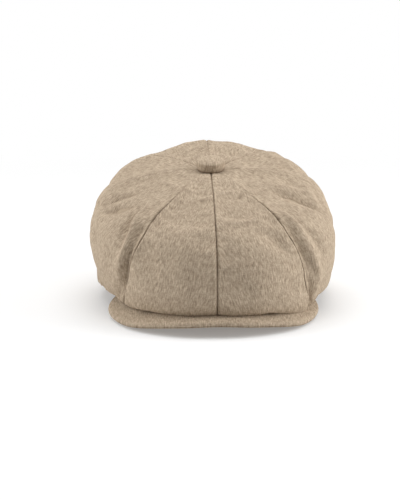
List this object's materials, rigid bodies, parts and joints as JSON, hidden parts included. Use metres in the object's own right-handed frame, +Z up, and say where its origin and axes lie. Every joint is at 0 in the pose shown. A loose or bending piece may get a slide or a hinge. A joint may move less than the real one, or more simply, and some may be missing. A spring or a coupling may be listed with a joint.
{
  "type": "newsboy cap",
  "caption": "Soft newsboy cap with a full panelled crown, a covered top button, a headband and a short stiff peak under the crown's front.",
  "frame": {"origin": "on the table, midway along the cap's length and width, below the covered button", "axes": "+Z up, the peak points along -Y, +X to the wearer's left"},
  "size_m": [0.2392, 0.2965, 0.1365],
  "materials": {
    "outer_cloth": "matte heathered weave",
    "lining_satin": "satin",
    "interlining": "matte",
    "sweatband_cloth": "matte twill",
    "seam_tape": "satin ribbon",
    "label_cloth": "satin ribbon",
    "button_steel": "plain",
    "peak_board": "matte"
  },
  "bodies": {
    "cap": {"crown_front_left": "outer_cloth", "crown_side_front_left": "outer_cloth", "crown_side_back_left": "outer_cloth", "crown_back_left": "outer_cloth", "crown_back_right": "outer_cloth", "crown_side_back_right": "outer_cloth", "crown_side_front_right": "outer_cloth", "crown_front_right": "outer_cloth", "lining_front_left": "lining_satin", "lining_side_front_left": "lining_satin", "lining_side_back_left": "lining_satin", "lining_back_left": "lining_satin", "lining_back_right": "lining_satin", "lining_side_back_right": "lining_satin", "lining_side_front_right": "lining_satin", "lining_front_right": "lining_satin", "headband": "outer_cloth", "headband_interlining": "interlining", "sweatband": "sweatband_cloth", "back_seam_tape": "seam_tape", "size_label": "label_cloth", "button_cover": "outer_cloth", "button_shell": "button_steel", "button_back_plate": "button_steel", "button_washer": "button_steel", "button_shank": "button_steel"},
    "peak": {"peak_top_cover": "outer_cloth", "peak_board": "peak_board", "peak_under_cover": "outer_cloth"}
  },
  "joints": [
    {"name": "peak_hinge", "type": "hinge", "parent": "cap", "child": "peak", "pos_m": [0, -0.08, 0.025], "axis": [1, 0, 0], "range_deg": [0, 10]}
  ]
}
